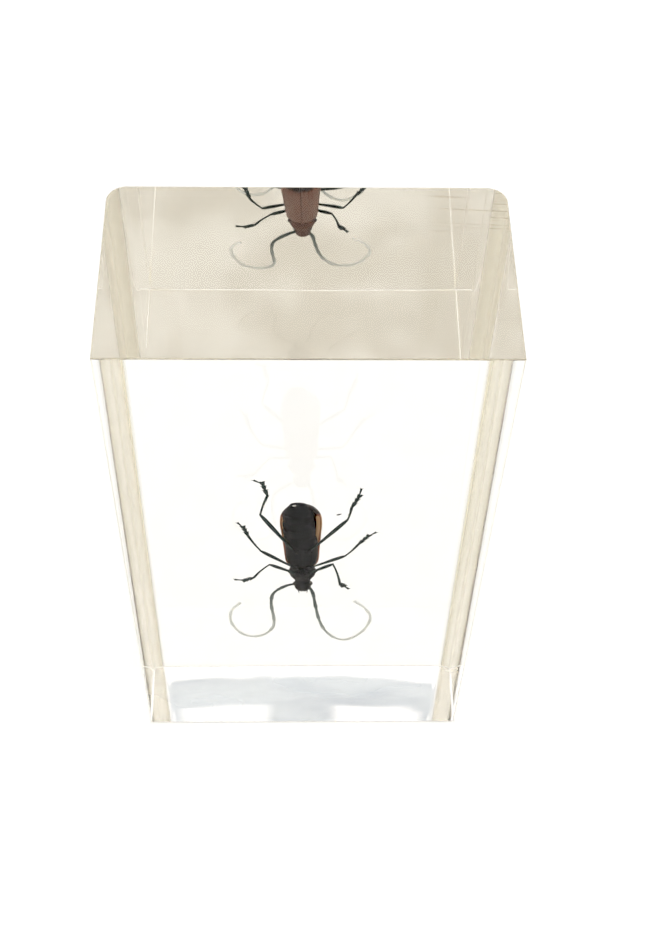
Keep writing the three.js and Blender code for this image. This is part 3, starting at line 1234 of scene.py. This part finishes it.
@dataclass
class Leg:
    """One leg: hip, thigh, shin, three broad foot joints, claw joint and two claws."""

    pair: str
    side: Side
    hip: Point
    knee: Point
    ankle: Point
    pad_end: Point
    tip: Point
    bow: Point
    foot_width: float = 1.25
    hip_radius: float = 0.38
    thigh: Profile = ((0, 0.13), (0.12, 0.14), (0.4, 0.2), (0.72, 0.27), (0.9, 0.23), (1, 0.14))
    shin: Profile = ((0, 0.1), (0.06, 0.11), (0.5, 0.12), (0.85, 0.155), (1, 0.17))
    foot_stops: tuple[float, ...] = (0.0, 0.4, 0.7, 1.0)
    foot_joint: Profile = ((0, 0.08), (0.3, 0.13), (0.8, 0.21), (1, 0.19))
    foot_lobe: Profile = ((0, 0.07), (0.5, 0.12), (1, 0.12))
    claw_joint: Profile = ((0, 0.065), (0.5, 0.07), (1, 0.11))
    claw_steps: int = 8
    hairs: int = 46

    @property
    def node(self) -> str:
        """The name of the solid that the leg stands for."""
        return f"leg_{self.pair}_{self.side.word}"

    def wide(self, profile: Profile) -> Profile:
        """A joint's profile, at the width of this leg's foot."""
        return tuple((share, radius * self.foot_width) for share, radius in profile)

    def foot(self, piece: Piece) -> None:
        """Adds the three broad joints of the foot, the last with two lobes, and the claw joint.

        Args:
            piece: The leg.
        """
        start, end, tip = Vector(self.ankle), Vector(self.pad_end), Vector(self.tip)
        run = end - start
        across = run.cross(TOWARDS_BACK).normalized()
        for begin, stop in zip(self.foot_stops, self.foot_stops[1:]):
            a, b = start.lerp(end, begin), start.lerp(end, stop)
            for way in (-1, 1):
                barb = across * way * self.foot_width
                top = b + barb * 0.3 + run.normalized() * 0.1
                piece.add(swept([b + barb * 0.08, top], [0.09, 0.02], 8))
            if stop < 1:
                piece.add(segment(a, b, self.wide(self.foot_joint), 10, sides=14, depth=0.7))
                continue
            for way in (-1, 1):
                lobe = b + across * 0.13 * way * self.foot_width
                piece.add(segment(a, lobe, self.wide(self.foot_lobe), 8, sides=12, depth=0.6))
        root = start.lerp(end, 0.86)
        piece.add(segment(root, tip, self.wide(self.claw_joint), 10, sides=12))
        reach = (tip - root).normalized()
        for way in (-1, 1):
            bend = tip + across * 0.12 * way + reach * 0.08
            point = tip + across * 0.2 * way + reach * 0.2 + TOWARDS_BACK * 0.05
            hook = smooth_line([tip, bend, point], self.claw_steps)
            radii = [0.06 - 0.048 * i / self.claw_steps for i in range(self.claw_steps + 1)]
            piece.add(swept(hook, radii, 8))

    def hair(self, piece: Piece, rng: random.Random) -> None:
        """Adds short stiff hairs along the shin and the foot.

        Args:
            piece: The leg.
            rng: What draws their places.
        """
        knee, ankle, end = Vector(self.knee), Vector(self.ankle), Vector(self.pad_end)
        for i in range(self.hairs):
            is_shin = i % 3 > 0
            a, b = (knee, ankle) if is_shin else (ankle, end)
            at = a.lerp(b, rng.uniform(0.35 if is_shin else 0.1, 0.98))
            run = (b - a).normalized()
            turn = rng.uniform(0, TAU)
            out = Matrix.Rotation(turn, 3, run) @ run.orthogonal().normalized()
            root = at + out * 0.09
            top = root + (out * 0.6 + run) * rng.uniform(0.08, 0.15)
            piece.add(swept([root, top], [0.012, 0.004], 5))

    def build(self, cuticle: Material, hip_cuticle: Material) -> None:
        """Makes the leg.

        Args:
            cuticle: The finish of the limb.
            hip_cuticle: The finish of the hip, which is the body's.
        """
        finishes = [cuticle, hip_cuticle]
        piece = Piece(f"{self.node}_limb", "limb_shell", (self.node,), finishes)
        hip, knee, ankle = Vector(self.hip), Vector(self.knee), Vector(self.ankle)
        piece.add(ball(hip, self.hip_radius, (1.0, 0.85, 0.95), 16), 1)
        piece.add(ball(hip.lerp(knee, 0.07), 0.2, (1.0, 0.9, 1.0), 12), 1)
        piece.add(segment(hip, knee, self.thigh, 26, sides=18, depth=0.85))
        piece.add(ball(knee, 0.135, fineness=10))
        piece.add(segment(knee, ankle, self.shin, 24, Vector(self.bow), sides=14, depth=0.9))
        run = (ankle - knee).normalized()
        aside = run.cross(TOWARDS_BACK).normalized()
        for way in (-1, 1):
            root = ankle + aside * 0.1 * way
            spur = root + run * 0.28 + aside * 0.06 * way
            piece.add(swept([root, spur], [0.04, 0.008], 7))
        self.foot(piece)
        self.hair(piece, random.Random(self.node))
        piece.finish()


LEGS = (
    Leg(
        pair="front", side=Side.LEFT, hip=(-0.5, -1.6, -0.45), knee=(-3.7, 0, 0.6), ankle=(-5.6, 0.1, -2.2),
        pad_end=(-6.9, 0.1, -2.9), tip=(-7.8, 0.1, -2.6), bow=(-0.12, 0, 0.05), foot_width=1.5,
    ),
    Leg(
        pair="front", side=Side.RIGHT, hip=(0.5, -1.6, -0.45), knee=(3.5, -0.1, 0.6),
        ankle=(4.3, -0.3, -3.4), pad_end=(4.8, -0.2, -4.2), tip=(5.3, -0.1, -4.8), bow=(0.1, 0, 0.02),
        foot_width=1.6,
    ),
    Leg(
        pair="middle", side=Side.LEFT, hip=(-0.8, -1.7, 0.9), knee=(-4.6, 0.4, 3.2), ankle=(-5.9, 0.5, 6.2),
        pad_end=(-6.4, 0, 8.5), tip=(-6.9, -0.1, 9.2), bow=(-0.06, 0, -0.04),
    ),
    Leg(
        pair="middle", side=Side.RIGHT, hip=(0.8, -1.7, 0.9), knee=(4.9, -0.1, 2.3), ankle=(6.3, -0.6, 4.9),
        pad_end=(7.5, -0.9, 7), tip=(8.2, -0.9, 7.5), bow=(0.06, 0, -0.05),
    ),
    Leg(
        pair="hind", side=Side.LEFT, hip=(-0.75, -1.75, 4.2), knee=(-4.4, 0.3, 10.5),
        ankle=(-3.5, 0.2, 14.1), pad_end=(-4, 0.1, 16.7), tip=(-4.8, 0.1, 17), bow=(-0.08, 0, 0.0),
    ),
    Leg(
        pair="hind", side=Side.RIGHT, hip=(0.75, -1.75, 4.2), knee=(5.1, 0.3, 9.3), ankle=(5.5, 0.2, 11.6),
        pad_end=(6.4, 0.1, 14.1), tip=(6.5, 0.1, 15.2), bow=(0.06, 0, 0.0),
    ),
)


@dataclass
class Antenna:
    """One antenna: eleven slender joints, each a little wider at its far end, fading towards the tip."""

    side: Side
    route: tuple[Point, ...]
    joints: int = 11
    scape_share: float = 0.09
    pedicel_share: float = 0.02
    root_radius: float = 0.25
    tip_radius: float = 0.21
    sections: int = 9
    line_steps: int = 600

    def joint_ends(self) -> list[float]:
        """Works out where the joints end.

        Returns:
            Their ends as shares of the antenna's length, with 0 first.
        """
        ends = [0.0, self.scape_share, self.scape_share + self.pedicel_share]
        rest = (1 - ends[-1]) / (self.joints - 2)
        while len(ends) <= self.joints:
            ends.append(min(ends[-1] + rest, 1.0))
        return ends

    def build(self, cuticle: Material) -> None:
        """Makes the antenna.

        Args:
            cuticle: The finish of the shell.
        """
        node = f"antenna_{self.side.word}"
        piece = Piece(f"{node}_joints", "limb_shell", (node,), [cuticle])
        line = smooth_line([Vector(point) for point in self.route], self.line_steps)
        ends = self.joint_ends()
        for i, (a, b) in enumerate(zip(ends, ends[1:])):
            radius = self.root_radius + (self.tip_radius - self.root_radius) * i / (self.joints - 1)
            shares = [k / self.sections for k in range(self.sections + 1)]
            stops = [a + (b - a) * share for share in shares]
            places = [line[min(round(stop * self.line_steps), self.line_steps)] for stop in stops]
            widths = [radius * (0.72 + 0.3 * share**2) for share in shares]
            piece.add(swept(places, widths, 12, label="fade", labels=stops))
        piece.finish()


ANTENNAE = (
    Antenna(
        Side.LEFT,
        (
            (-0.7, 0.3, -3.8), (-1.8, 0.5, -4.3), (-3.4, 0.7, -6), (-3.8, 0.7, -8.1), (-3.6, 0.6, -12.5),
            (-3.8, 0.4, -13.9), (-4.9, 0.1, -15.4), (-6.1, -0.1, -15.7), (-7.4, -0.2, -15.1),
            (-8.5, -0.3, -13), (-8.8, -0.4, -10.9), (-8.4, -0.2, -9), (-7.5, 0, -7.8),
        ),
    ),
    Antenna(
        Side.RIGHT,
        (
            (0.5, 0.2, -3.9), (1.1, 0.1, -5.6), (1.4, 0, -8.3), (1.9, -0.3, -12), (2.6, -0.5, -14.3),
            (3.7, -0.6, -15.9), (4.8, -0.7, -16.4), (6, -0.6, -15.9), (7.3, -0.5, -14.1), (8, -0.4, -11.8),
            (7.9, -0.4, -10.5), (7.2, -0.4, -8.9), (6.1, -0.4, -7.5),
        ),
    ),
)


@dataclass
class Fleck:
    """A dark mote that was cast in with the beetle, above its right hind leg."""

    centre: Point = (3.62, -5.0, 45.43)
    radius: float = 0.17
    turn: float = math.radians(-24)

    def build(self, cuticle: Material) -> None:
        """Makes the mote.

        Args:
            cuticle: The finish that it shares with the body.
        """
        piece = Piece("resin_mote", "black_shell", (), [cuticle], BLOCK_PLACE)
        centre = Vector(self.centre)
        form = ball(centre, self.radius, (1.7, 0.7, 0.6), 10)
        turn = Matrix.Rotation(self.turn, 3, "Y")
        for vert in form.verts:
            away = turn @ (vert.co - centre)
            vert.co = centre + away * (1 + 0.5 * noise.noise(vert.co * 9))
        piece.add(form)
        piece.finish()


# ---- The studio ----


@dataclass
class Studio:
    """A white paper floor, a white sky with a grey panel and a lamp high behind it, and the camera.

    Places on the sky are the sines of angles, because they are read from a direction's X, Y and Z.
    """

    floor_size: float = 3.0
    floor_z: float = -0.02
    walls: str = "#fffefd"
    horizon: str = "#e2e3e3"
    panel: str = "#d4d8da"
    panel_dark: str = "#b0b6be"
    strength: float = 1.29
    panel_low: float = 0.8866
    panel_reach: float = 0.13
    panel_bow: float = 0.24
    panel_streaks: Point = (16.0, 1.0, 110.0)
    lamp_low: float = 0.895
    lamp_middle: float = 0.0081
    lamp_from: float = 0.0215
    lamp_to: float = 0.078
    hard_edge: float = 0.0008
    soft_edge: float = 0.006
    softest_edge: float = 0.01
    black_level: float = 0.09
    light_bounces: int = 96
    camera_place: Point = (-0.0018246, -0.0987483, 0.1807437)
    yaw: float = math.radians(-2.2127)
    pitch: float = math.radians(54.5109)
    roll: float = math.radians(1.8388)
    lens: float = 57.556
    sensor_width: float = 36.0

    def lay_floor(self) -> None:
        """Lays the floor a hair under the block, so that air lies between the two."""
        form = bmesh.new()
        bmesh.ops.create_grid(form, x_segments=1, y_segments=1, size=self.floor_size)
        bmesh.ops.translate(form, vec=(0, 0, self.floor_z * MM), verts=form.verts[:])
        mesh = bpy.data.meshes.new("paper_floor")
        form.to_mesh(mesh)
        form.free()
        mesh.materials.append(MatteWhite().build())
        floor = bpy.data.objects.new("paper_floor", mesh)
        bpy.context.scene.collection.objects.link(floor)

    def light(self) -> None:
        """Lights the scene from all round."""
        world = bpy.data.worlds.new("studio_sky")
        bpy.context.scene.world = world
        world.use_nodes = True
        tree = world.node_tree
        tree.nodes.clear()
        where = add_node(tree, "TexCoord").outputs["Generated"]
        x, y, z = add_node(tree, "SeparateXYZ", {0: where}).outputs
        across = add_node(tree, "Math", {0: x}, operation="ABSOLUTE")
        off_lamp = add_node(tree, "Math", {0: x, 1: self.lamp_middle}, operation="SUBTRACT")
        aside = add_node(tree, "Math", {0: off_lamp}, operation="ABSOLUTE")
        square = add_node(tree, "Math", {0: x, 1: x}, operation="MULTIPLY")
        height = add_node(tree, "Math", {0: square, 1: self.panel_bow, 2: z}, operation="MULTIPLY_ADD")
        # Each edge of the panel and of the lamp: what is read, where, how softly, and whether it ends there
        panel = (
            (height, self.panel_low, self.hard_edge, False),
            (across, self.panel_reach, self.softest_edge, True),
        )
        lamp = (
            (height, self.lamp_low, self.hard_edge, False),
            (y, 0.0, self.softest_edge, False),
            (aside, self.lamp_from, self.soft_edge, False),
            (aside, self.lamp_to, self.soft_edge, True),
        )
        areas = []
        for edges in (panel, lamp):
            area = 1.0
            for value, at, soft, is_end in edges:
                low, high = (1.0, 0.0) if is_end else (0.0, 1.0)
                reach = {"From Min": at - soft, "From Max": at + soft, "To Min": low, "To Max": high}
                edge = add_node(tree, "MapRange", {"Value": value, **reach}, **SOFTLY)
                area = add_node(tree, "Math", {0: area, 1: edge}, operation="MULTIPLY")
            areas.append(area)
        unlit = add_node(tree, "Math", {0: 1.0, 1: areas[1]}, operation="SUBTRACT")
        grey = add_node(tree, "Math", {0: areas[0], 1: unlit}, operation="MULTIPLY")
        streaks = add_node(tree, "VectorMath", {0: where, 1: self.panel_streaks}, operation="MULTIPLY")
        patches = add_node(tree, "TexNoise", {"Vector": streaks, "Scale": 1.0, "Detail": 2.0})
        above = add_node(tree, "ValToRGB", {"Fac": patches}, ((0.3, self.panel_dark), (0.65, self.panel)))
        wall = add_node(tree, "ValToRGB", {"Fac": z}, ((0.0, self.horizon), (0.4, self.walls)))
        colour = add_node(tree, "Mix", {0: grey, 6: wall, 7: above}, data_type="RGBA").outputs[2]
        sky = add_node(tree, "Background", {"Color": colour, "Strength": self.strength})
        add_node(tree, "OutputWorld", {"Surface": sky})

    def set_camera(self) -> None:
        """Sets up the camera."""
        data = bpy.data.cameras.new("camera")
        data.lens = self.lens
        data.sensor_width = self.sensor_width
        data.clip_start, data.clip_end = 0.01, 20.0
        camera = bpy.data.objects.new("camera", data)
        bpy.context.scene.collection.objects.link(camera)
        level = Vector((math.cos(self.yaw), math.sin(self.yaw), 0))
        ahead = Vector((-math.sin(self.yaw), math.cos(self.yaw), 0))
        forward = ahead * math.cos(self.pitch) - Vector((0, 0, math.sin(self.pitch)))
        up = level.cross(forward)
        right = level * math.cos(self.roll) + up * math.sin(self.roll)
        top = -level * math.sin(self.roll) + up * math.cos(self.roll)
        turn = Matrix([right, top, -forward]).transposed().to_4x4()
        camera.matrix_world = Matrix.Translation(self.camera_place) @ turn
        bpy.context.scene.camera = camera

    def tune(self) -> None:
        """Lets light pass through the resin as often as it needs to."""
        scene = bpy.context.scene
        scene.view_settings.view_transform = "Standard"
        scene.view_settings.use_curve_mapping = True
        scene.view_settings.curve_mapping.black_level = (self.black_level,) * 3
        for kind in ("max", "transmission", "glossy"):
            setattr(scene.cycles, f"{kind}_bounces", self.light_bounces)
        scene.cycles.blur_glossy = 0.0
        scene.cycles.diffuse_bounces = 4
        scene.cycles.volume_bounces = 0
        scene.cycles.caustics_reflective = True
        scene.cycles.caustics_refractive = True

    def build(self) -> None:
        """Sets up the floor, the light, the camera and the light paths."""
        self.lay_floor()
        self.light()
        self.set_camera()
        self.tune()


def main() -> None:
    """Builds the studio, the resin block and the beetle."""
    logging.basicConfig(level=logging.INFO, format="%(name)s: %(message)s")
    Studio().build()
    body = BodyCuticle().build()
    limb = LimbCuticle().build()
    wing = WingCaseCuticle().build()
    ResinBlock().build()
    Head().build(body, EyeLens().build())
    Pronotum().build(body)
    Abdomen().build(body, PaleSkin().build())
    for side in Side:
        WingCase(side).build(wing, body)
    for leg in LEGS:
        leg.build(limb, body)
    for antenna in ANTENNAE:
        antenna.build(limb)
    Fleck().build(body)


if __name__ == "__main__":
    main()
